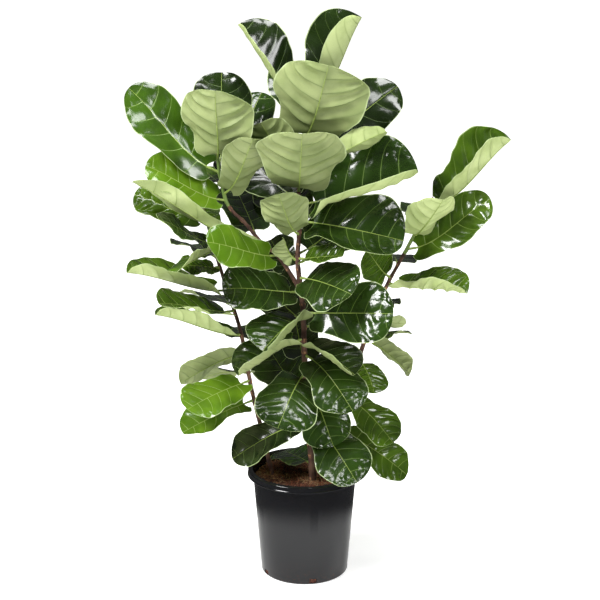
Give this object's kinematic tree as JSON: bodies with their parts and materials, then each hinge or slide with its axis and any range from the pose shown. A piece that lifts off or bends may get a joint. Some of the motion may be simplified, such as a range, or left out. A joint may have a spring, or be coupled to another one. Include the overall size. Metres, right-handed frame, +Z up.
{
  "type": "potted fiddle leaf fig",
  "caption": "Bushy fiddle leaf fig with slim woody trunks and large waved leathery leaves, dark above and pale below, standing in a tapered black nursery pot filled with coir mix.",
  "frame": {"origin": "centre of the pot's underside, the flat face it rests on", "axes": "+Z up along the pot's axis, -Y towards the front shown in the picture, +X to its right"},
  "size_m": [0.8124, 0.4179, 1.2524],
  "materials": {
    "pot": "satin",
    "mix": "matte",
    "bark": "matte",
    "leaf": "satin"
  },
  "bodies": {
    "root": {"leaf_branch_01": "leaf", "leaf_branch_02": "leaf", "leaf_branch_03": "leaf", "leaf_branch_04": "leaf", "leaf_centre_01": "leaf", "leaf_centre_02": "leaf", "leaf_centre_03": "leaf", "leaf_centre_04": "leaf", "leaf_centre_05": "leaf", "leaf_centre_06": "leaf", "leaf_centre_07": "leaf", "leaf_centre_08": "leaf", "leaf_centre_09": "leaf", "leaf_centre_10": "leaf", "leaf_centre_11": "leaf", "leaf_centre_12": "leaf", "leaf_centre_13": "leaf", "leaf_centre_14": "leaf", "leaf_centre_15": "leaf", "leaf_centre_16": "leaf", "leaf_centre_17": "leaf", "leaf_centre_18": "leaf", "leaf_centre_19": "leaf", "leaf_centre_20": "leaf", "leaf_centre_21": "leaf", "leaf_centre_22": "leaf", "leaf_centre_23": "leaf", "leaf_centre_24": "leaf", "leaf_centre_25": "leaf", "leaf_left_01": "leaf", "leaf_left_02": "leaf", "leaf_left_03": "leaf", "leaf_left_04": "leaf", "leaf_left_05": "leaf", "leaf_left_06": "leaf", "leaf_left_07": "leaf", "leaf_left_08": "leaf", "leaf_left_09": "leaf", "leaf_left_10": "leaf", "leaf_left_11": "leaf", "leaf_right_01": "leaf", "leaf_right_02": "leaf", "leaf_right_03": "leaf", "leaf_right_04": "leaf", "leaf_right_05": "leaf", "leaf_right_06": "leaf", "leaf_right_07": "leaf", "leaf_right_08": "leaf", "leaf_right_09": "leaf", "leaf_right_10": "leaf", "nursery_pot": "pot", "potting_mix": "mix", "shoot_branch": "leaf", "shoot_centre": "leaf", "shoot_left": "leaf", "shoot_right": "leaf", "stem_centre": "bark", "stem_left": "bark", "stem_right": "bark"}
  },
  "joints": []
}
